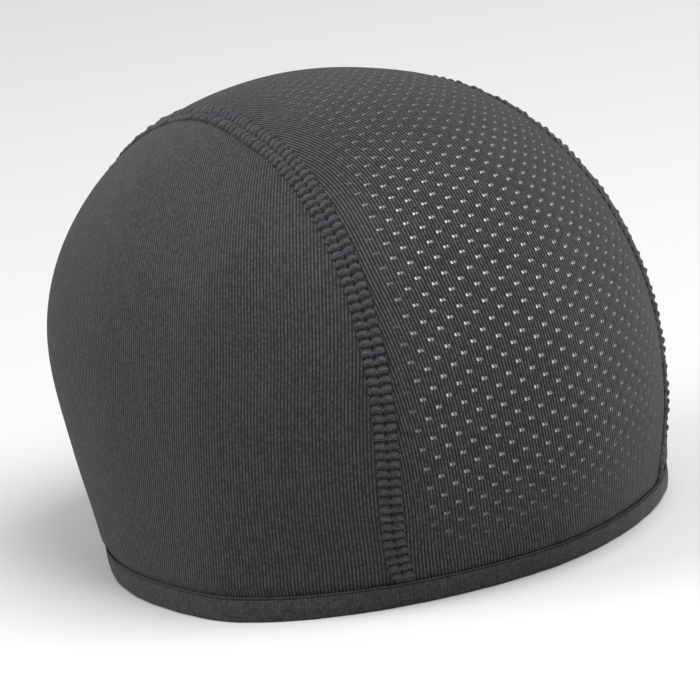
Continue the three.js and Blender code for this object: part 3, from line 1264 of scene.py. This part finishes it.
def knit_group() -> bpy.types.NodeTree:
    """The shared relief of a rib knit.

    A rib's height is (1/2 + cos(2 pi across / pitch) / 2)^shape, lowered a little at each stitch by a
    wave whose crests are bent into a V. The groove shade is what is left below the ribs: a mask for the
    shade painted into the furrows. Each stitch of each rib also has its own random grain.

    Returns:
        The group, with a height, a mask for the shade painted into the furrows and a grain from -1 to 1.
    """
    tree, given, out = new_group(
        "rib_knit",
        {
            "Across": "Float", "Along": "Float", "Rib Pitch": "Float", "Rib Shape": "Float",
            "Stitch Pitch": "Float", "Stitch Share": "Float",
        },
        {"Height": "Float", "Furrow": "Float", "Grain": "Float"},
    )
    ribs = tree.math("DIVIDE", given["Across"], given["Rib Pitch"])
    wave = tree.math("COSINE", tree.math("MULTIPLY", ribs, 2 * math.pi))
    crest = tree.math("POWER", tree.math("MULTIPLY_ADD", wave, 0.5, 0.5), given["Rib Shape"])
    slant = tree.math("PINGPONG", ribs, 0.5)
    stitches = tree.math("ADD", tree.math("DIVIDE", given["Along"], given["Stitch Pitch"]), slant)
    beat = tree.math("COSINE", tree.math("MULTIPLY", stitches, 2 * math.pi))
    dip = tree.math("MULTIPLY", tree.math("MULTIPLY_ADD", beat, 0.5, 0.5), given["Stitch Share"])
    height = tree.math("MULTIPLY", crest, tree.math("SUBTRACT", 1.0, dip))
    cell = tree.add("ShaderNodeCombineXYZ")
    tree.feed(cell.inputs[0], tree.math("ROUND", ribs))
    tree.feed(cell.inputs[1], tree.math("FLOOR", stitches))
    random = tree.add("ShaderNodeTexWhiteNoise", noise_dimensions="3D")
    tree.feed(random.inputs["Vector"], cell.outputs[0])
    tree.feed(out["Height"], height)
    tree.feed(out["Furrow"], tree.math("SUBTRACT", 1.0, height))
    tree.feed(out["Grain"], tree.math("MULTIPLY_ADD", random.outputs["Value"], 2.0, -1.0))
    return tree.nodes


def mottle_group() -> bpy.types.NodeTree:
    """The shared unevenness of dyed yarn.

    The colour is lightened and darkened by two sizes of noise, in the piece's own coordinates, and by a
    grain that is given.

    Returns:
        The group, with a colour.
    """
    detail = 3.0
    tree, given, out = new_group(
        "yarn_mottle",
        {
            "Colour": "Color", "Amount": "Float", "Coarse Scale": "Float", "Fine Scale": "Float",
            "Grain": "Float", "Grain Amount": "Float",
        },
        {"Colour": "Color"},
    )
    place = tree.add("ShaderNodeTexCoord").outputs["Object"]
    shades = []
    for scale in ("Coarse Scale", "Fine Scale"):
        noise = tree.add("ShaderNodeTexNoise")
        noise.inputs["Detail"].default_value = detail
        tree.feed(noise.inputs["Vector"], place)
        tree.feed(noise.inputs["Scale"], given[scale])
        shades.append(tree.math("SUBTRACT", noise.outputs[0], 0.5))
    both = tree.math("MULTIPLY", tree.math("ADD", *shades), given["Amount"])
    grained = tree.math("MULTIPLY", given["Grain"], given["Grain Amount"])
    factor = tree.math("ADD", tree.math("ADD", both, grained), 1.0)
    scaled = tree.add("ShaderNodeVectorMath", operation="SCALE")
    tree.feed(scaled.inputs[0], given["Colour"])
    tree.feed(scaled.inputs["Scale"], factor)
    tree.feed(out["Colour"], scaled.outputs[0])
    return tree.nodes


def eyelet_group() -> bpy.types.NodeTree:
    """The shared mask of the crown's paired holes, as Eyelets.hollow works it out, where light seen through
    the holes is painted.

    The mask is 1 in the first hole of a pair and the second's share in the other, so that the second hole
    of each pair gets less painted light.

    Returns:
        The group, with the mask.
    """
    tree, given, out = new_group(
        "eyelet_mask",
        {
            "Across": "Float", "Along": "Float", "Column Pitch": "Float", "Row Pitch": "Float",
            "Rib Pitch": "Float", "Half Width": "Float", "Half Length": "Float",
            "Floor Share": "Float", "Second Share": "Float",
        },
        {"Mask": "Float"},
    )
    column = tree.math("ROUND", tree.math("DIVIDE", given["Across"], given["Column Pitch"]))
    offset = tree.math("SUBTRACT", given["Across"], tree.math("MULTIPLY", column, given["Column Pitch"]))
    half_rib = tree.math("MULTIPLY", given["Rib Pitch"], 0.5)
    beside = tree.math("SUBTRACT", tree.math("ABSOLUTE", offset), half_rib)
    odd = tree.math("FLOORED_MODULO", column, 2.0)
    stagger = tree.math("MULTIPLY", tree.math("MULTIPLY", odd, given["Row Pitch"]), 0.5)
    shifted = tree.math("SUBTRACT", given["Along"], stagger)
    row = tree.math("ROUND", tree.math("DIVIDE", shifted, given["Row Pitch"]))
    beyond = tree.math("SUBTRACT", shifted, tree.math("MULTIPLY", row, given["Row Pitch"]))
    wide = tree.math("POWER", tree.math("DIVIDE", beside, given["Half Width"]), 2.0)
    long = tree.math("POWER", tree.math("DIVIDE", beyond, given["Half Length"]), 2.0)
    distance = tree.math("SQRT", tree.math("ADD", wide, long))
    hole = tree.math("SUBTRACT", 1.0, tree.ramp(distance, given["Floor Share"], 1.0))
    second = tree.math("GREATER_THAN", offset, 0.0)
    loss = tree.math("MULTIPLY", second, tree.math("SUBTRACT", 1.0, given["Second Share"]))
    tree.feed(out["Mask"], tree.math("MULTIPLY", hole, tree.math("SUBTRACT", 1.0, loss)))
    return tree.nodes


def cloth_material(name: str) -> tuple[bpy.types.Material, Tree, bpy.types.Node]:
    """Starts a material.

    Args:
        name: the material's name.

    Returns:
        The material, its tree and its shader.
    """
    material = bpy.data.materials.new(name)
    material.use_nodes = True
    material.node_tree.nodes.clear()
    tree = Tree(material.node_tree)
    shader = tree.add("ShaderNodeBsdfPrincipled")
    tree.feed(tree.add("ShaderNodeOutputMaterial").inputs["Surface"], shader.outputs[0])
    return material, tree, shader


def weave_sockets(tree: Tree) -> list[bpy.types.NodeSocket]:
    """Reads what a piece's vertices carry for its material.

    Args:
        tree: the material's tree.

    Returns:
        The three numbers' outputs.
    """
    split = tree.add("ShaderNodeSeparateXYZ")
    tree.feed(split.inputs[0], tree.add("ShaderNodeAttribute", attribute_name=WEAVE).outputs["Vector"])
    return list(split.outputs)


def add_bump(tree: Tree, shader: bpy.types.Node, height: bpy.types.NodeSocket, relief: float) -> None:
    """Gives a shader a relief.

    Args:
        tree: the material's tree.
        shader: the material's shader.
        height: the height from 0 to 1.
        relief: how far apart 0 and 1 lie.
    """
    bump = tree.add("ShaderNodeBump")
    bump.inputs["Strength"].default_value = 1.0
    bump.inputs["Distance"].default_value = relief
    tree.feed(bump.inputs["Height"], height)
    tree.feed(shader.inputs["Normal"], bump.outputs[0])


class Groups:
    """The shader groups that the finishes share, each made once."""

    def __init__(self) -> None:
        """Builds the groups."""
        self.knit = knit_group()
        self.mottle = mottle_group()
        self.eyelets = eyelet_group()


@dataclass(frozen=True)
class KnitFinish:
    """A knitted cloth: its dye, the shade painted into its furrows, its ribs, its grain and its sheen, and
    the light painted into its holes where it has eyelets.
    """

    name: str
    dye: tuple[float, float, float]
    # Painted shade: the furrows between ribs are darkened towards this tone, by this strength.
    painted_groove_shade: tuple[float, float, float]
    groove_shade_strength: float
    rib_pitch: float
    relief: float
    sheen: float
    rib_shape: float = 1.0
    stitch_pitch: float = 0.7
    stitch_share: float = 0.2
    grain: float = 0.3
    roughness: float = 0.7
    sheen_roughness: float = 0.4
    mottle: float = 0.25
    coarse_mottle: float = 35.0
    fine_mottle: float = 900.0
    specular: float = 0.12
    # Painted light: the holes' floors are painted this pale tone, as light seen through them, less in the
    # second hole of a pair.
    painted_light_and_shade: tuple[float, float, float] = (0.85, 0.85, 0.82)
    second_hole_light: float = 0.5
    eyelets: Eyelets | None = None

    def material(self, groups: Groups) -> bpy.types.Material:
        """Makes the finish as a material.

        Args:
            groups: the shared shader groups.

        Returns:
            The material.
        """
        material, tree, shader = cloth_material(self.name)
        across, along, share = weave_sockets(tree)
        knit = tree.group(
            groups.knit, Across=across, Along=along, Rib_Pitch=self.rib_pitch, Rib_Shape=self.rib_shape,
            Stitch_Pitch=self.stitch_pitch, Stitch_Share=self.stitch_share,
        )
        dye = tree.group(
            groups.mottle, Colour=(*self.dye, 1.0), Amount=self.mottle, Coarse_Scale=self.coarse_mottle,
            Fine_Scale=self.fine_mottle, Grain=knit.outputs["Grain"], Grain_Amount=self.grain,
        ).outputs["Colour"]
        # Painted shade in the furrows between the ribs.
        furrow = tree.math("MULTIPLY", knit.outputs["Furrow"], self.groove_shade_strength)
        colour = tree.mix(furrow, dye, (*self.painted_groove_shade, 1.0))
        if self.eyelets:
            holes = self.eyelets
            mask = tree.group(
                groups.eyelets, Across=across, Along=along, Column_Pitch=holes.column_pitch / MM,
                Row_Pitch=holes.row_pitch / MM, Rib_Pitch=holes.rib_pitch / MM,
                Half_Width=holes.half_width / MM, Half_Length=holes.half_length / MM,
                Floor_Share=holes.floor_share, Second_Share=self.second_hole_light,
            ).outputs["Mask"]
            # Painted light on the holes' floors, scaled by the knit's openness.
            colour = tree.mix(tree.math("MULTIPLY", mask, share), colour, (*self.painted_light_and_shade, 1.0))
        tree.feed(shader.inputs["Base Color"], colour)
        add_bump(tree, shader, knit.outputs["Height"], self.relief)
        shader.inputs["Roughness"].default_value = self.roughness
        shader.inputs["Specular IOR Level"].default_value = self.specular
        shader.inputs["Sheen Weight"].default_value = self.sheen
        shader.inputs["Sheen Roughness"].default_value = self.sheen_roughness
        return material


@dataclass(frozen=True)
class ThreadFinish:
    """Spun thread, laid in fine strands across a seam, with shade painted between the strands and, from the
    seam's mask, in the needle holes, the gaps between stitches, the middle furrow and the edges.
    """

    name: str
    dye: tuple[float, float, float]
    # Painted shade: this near-black tone darkens the needle holes, the gaps between stitches, the middle
    # furrow, the edges and the furrows between strands.
    painted_light_and_shade: tuple[float, float, float] = (0.003, 0.003, 0.004)
    strand_pitch: float = 0.25
    strand_shape: float = 1.0
    strand_shade_strength: float = 0.4
    twist_pitch: float = 0.7
    twist_share: float = 0.3
    mottle: float = 0.5
    coarse_mottle: float = 60.0
    fine_mottle: float = 1400.0
    grain: float = 0.35
    relief: float = 0.12 * MM
    roughness: float = 0.65
    specular: float = 0.15
    sheen: float = 0.12

    def material(self, groups: Groups) -> bpy.types.Material:
        """Makes the finish as a material.

        Args:
            groups: the shared shader groups.

        Returns:
            The material.
        """
        material, tree, shader = cloth_material(self.name)
        across, beat, painted_shade = weave_sockets(tree)
        strands = tree.group(
            groups.knit, Across=beat, Along=across, Rib_Pitch=self.strand_pitch,
            Rib_Shape=self.strand_shape, Stitch_Pitch=self.twist_pitch, Stitch_Share=self.twist_share,
        )
        dye = tree.group(
            groups.mottle, Colour=(*self.dye, 1.0), Amount=self.mottle, Coarse_Scale=self.coarse_mottle,
            Fine_Scale=self.fine_mottle, Grain=strands.outputs["Grain"], Grain_Amount=self.grain,
        ).outputs["Colour"]
        # Painted shade between the strands, then in the seam's pits, gaps, middle and edges.
        between = tree.math("MULTIPLY", strands.outputs["Furrow"], self.strand_shade_strength)
        shaded = tree.mix(between, dye, (*self.painted_light_and_shade, 1.0))
        tree.feed(shader.inputs["Base Color"], tree.mix(painted_shade, shaded, (*self.painted_light_and_shade, 1.0)))
        add_bump(tree, shader, strands.outputs["Height"], self.relief)
        shader.inputs["Roughness"].default_value = self.roughness
        shader.inputs["Specular IOR Level"].default_value = self.specular
        shader.inputs["Sheen Weight"].default_value = self.sheen
        return material


@dataclass(frozen=True)
class CapFinishes:
    """The finishes of the cap's cloths and threads."""

    crown: KnitFinish = KnitFinish(
        name="pierced_knit", dye=(0.075, 0.074, 0.071), painted_groove_shade=(0.004, 0.004, 0.004),
        groove_shade_strength=0.95, rib_pitch=0.845, relief=0.2 * MM, sheen=0.08, eyelets=Eyelets(),
    )
    sides: KnitFinish = KnitFinish(
        name="ribbed_knit", dye=(0.062, 0.0605, 0.066), painted_groove_shade=(0.005, 0.005, 0.006),
        groove_shade_strength=0.9, rib_pitch=1.0, relief=0.16 * MM, sheen=0.08,
    )
    band: KnitFinish = KnitFinish(
        name="band_knit", dye=(0.05, 0.049, 0.05), painted_groove_shade=(0.01, 0.01, 0.01),
        groove_shade_strength=0.45, rib_pitch=0.95, relief=0.08 * MM, sheen=0.08,
    )
    cover: ThreadFinish = ThreadFinish(name="seam_thread", dye=(0.054, 0.051, 0.058))
    # Painted highlight: the loops are real thread, but their dye is lighter than the seam's to stand in for
    # the sheen on them.
    needle: ThreadFinish = ThreadFinish(name="needle_thread", dye=(0.12, 0.115, 0.125), strand_shade_strength=0.3)


@dataclass(frozen=True)
class Cut:
    """The flat shape a cloth piece was cut to before it was sewn, and how the cap holds it."""

    width: float
    length: float
    area: float
    hold: Hold = Hold.STRETCHED

    def declare(self, piece: bpy.types.Object, rests_on: list[bpy.types.Object]) -> None:
        """Takes a piece and what it rests on, and does nothing with them."""


class Cap:
    """The whole cap: builds each piece, dresses it and says which solid it stands for."""

    crown_cut = Cut(width=102 * MM, length=340 * MM, area=0.0215)
    side_cut = Cut(width=135 * MM, length=200 * MM, area=0.0205)
    band_cut = Cut(width=16 * MM, length=480 * MM, area=0.00768, hold=Hold.FOLDED)

    def __init__(self) -> None:
        """Makes the finishes."""
        groups = Groups()
        finishes = CapFinishes()
        self.crown_cloth = finishes.crown.material(groups)
        self.side_cloth = finishes.sides.material(groups)
        self.band_cloth = finishes.band.material(groups)
        self.cover_thread = finishes.cover.material(groups)
        self.needle_thread = finishes.needle.material(groups)

    def dress(self, piece: bpy.types.Object, cloth: bpy.types.Material, node: str = "") -> None:
        """Gives a piece its material and its body, and hides the solid that it replaces.

        Args:
            piece: the finished piece.
            cloth: its material.
            node: the solid that it stands for, if any.
        """
        piece.data.materials.append(cloth)
        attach(piece, BODY)
        if node:
            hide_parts(node)
        log.info("%s: %d faces, stands for %s", piece.name, len(piece.data.polygons), node or "no solid")

    def build(self) -> None:
        """Builds and dresses every piece, from the crown down."""
        crown, hem = CrownPanel().build(), HemBand().build()
        self.dress(crown, self.crown_cloth, "crown_panel")
        self.dress(hem, self.band_cloth, "hem_band")
        self.crown_cut.declare(crown, [hem])
        self.band_cut.declare(hem, [])
        for side in Side:
            where = side.name.lower()
            panel = SidePanel(side).build()
            self.dress(panel, self.side_cloth, f"side_panel_{where}")
            self.side_cut.declare(panel, [hem])
            self.dress(SeamCover(side).build(), self.cover_thread, f"flat_seam_{where}")
            self.dress(NeedleThreads(side).build(), self.needle_thread)


@dataclass(frozen=True)
class View:
    """The photograph's view of the cap, as a long lens far away, tipped a little to one side."""

    azimuth: float = math.radians(-37.83)
    elevation: float = math.radians(14.62)
    roll: float = math.radians(-9.01)
    distance: float = 2.08
    axis_height: float = 60 * MM
    aim_right: float = -11.2 * MM
    aim_up: float = -6.2 * MM
    lens: float = 391.5
    sensor: float = 36.0
    far_clip: float = 20.0

    def build(self) -> None:
        """Makes the camera and sets it as the scene's."""
        flat = math.cos(self.elevation)
        level = Vector((math.sin(self.azimuth), -math.cos(self.azimuth), 0)) * flat
        back = level + Vector((0, 0, math.sin(self.elevation)))
        right = (-back).cross(Vector((0, 0, 1))).normalized()
        up = right.cross(-back)
        tipped_right = right * math.cos(self.roll) + up * math.sin(self.roll)
        tipped_up = up * math.cos(self.roll) - right * math.sin(self.roll)
        middle = Vector((0, float(SHIFT[1]), self.axis_height))
        eye = middle + back * self.distance
        aim = middle + tipped_right * self.aim_right + tipped_up * self.aim_up
        away = (eye - aim).normalized()
        across = (tipped_right - away * tipped_right.dot(away)).normalized()
        camera_data = bpy.data.cameras.new("photo_view")
        camera_data.sensor_width = self.sensor
        camera_data.lens = self.lens
        camera_data.clip_end = self.far_clip
        camera = bpy.data.objects.new("photo_view", camera_data)
        turn = Matrix((across, away.cross(across), away)).transposed()
        camera.matrix_world = Matrix.Translation(eye) @ turn.to_4x4()
        bpy.context.scene.collection.objects.link(camera)
        bpy.context.scene.camera = camera


@dataclass(frozen=True)
class SoftBox:
    """A square studio light that faces the cap."""

    name: str
    azimuth: float
    elevation: float
    distance: float
    size: float
    watts: float

    def build(self) -> None:
        """Makes the light, turned towards the frame's origin."""
        azimuth, elevation = math.radians(self.azimuth), math.radians(self.elevation)
        flat = math.cos(elevation)
        back = Vector((math.sin(azimuth) * flat, -math.cos(azimuth) * flat, math.sin(elevation)))
        lamp = bpy.data.lights.new(self.name, "AREA")
        lamp.size = self.size
        lamp.energy = self.watts
        light = bpy.data.objects.new(self.name, lamp)
        turn = back.to_track_quat("Z", "Y").to_matrix().to_4x4()
        light.matrix_world = Matrix.Translation(back * self.distance) @ turn
        bpy.context.scene.collection.objects.link(light)


@dataclass(frozen=True)
class Studio:
    """A pale floor, a pale surround and soft lights."""

    floor_half: float = 8.0
    floor_tone: float = 0.62
    floor_roughness: float = 0.9
    floor_specular: float = 0.1
    surround_tone: float = 1.0
    surround_strength: float = 0.5
    lights: tuple[SoftBox, ...] = (
        SoftBox("key", azimuth=14, elevation=60, distance=1.6, size=1.1, watts=30),
        SoftBox("rim", azimuth=-130, elevation=42, distance=1.6, size=1.0, watts=13),
    )

    def build(self) -> None:
        """Makes the floor, the surround and the lights."""
        half = self.floor_half
        mesh = bpy.data.meshes.new("floor")
        corners = [(-half, -half, 0), (half, -half, 0), (half, half, 0), (-half, half, 0)]
        mesh.from_pydata(corners, [], [(0, 1, 2, 3)])
        floor = bpy.data.objects.new("floor", mesh)
        bpy.context.scene.collection.objects.link(floor)
        paper = bpy.data.materials.new("floor_paper")
        paper.use_nodes = True
        shader = paper.node_tree.nodes["Principled BSDF"]
        shader.inputs["Base Color"].default_value = (self.floor_tone,) * 3 + (1.0,)
        shader.inputs["Roughness"].default_value = self.floor_roughness
        shader.inputs["Specular IOR Level"].default_value = self.floor_specular
        mesh.materials.append(paper)
        world = bpy.data.worlds.new("surround")
        world.use_nodes = True
        background = world.node_tree.nodes["Background"]
        background.inputs["Color"].default_value = (self.surround_tone,) * 3 + (1.0,)
        background.inputs["Strength"].default_value = self.surround_strength
        scene = bpy.context.scene
        scene.world = world
        scene.view_settings.view_transform = "Standard"
        for light in self.lights:
            light.build()


def main() -> None:
    """Builds the view, the cap and the studio."""
    logging.basicConfig(level=logging.INFO, format="%(name)s: %(message)s")
    View().build()
    log.info("camera in place")
    Cap().build()
    Studio().build()
    log.info("floor and lights in place")


if __name__ == "__main__":
    main()
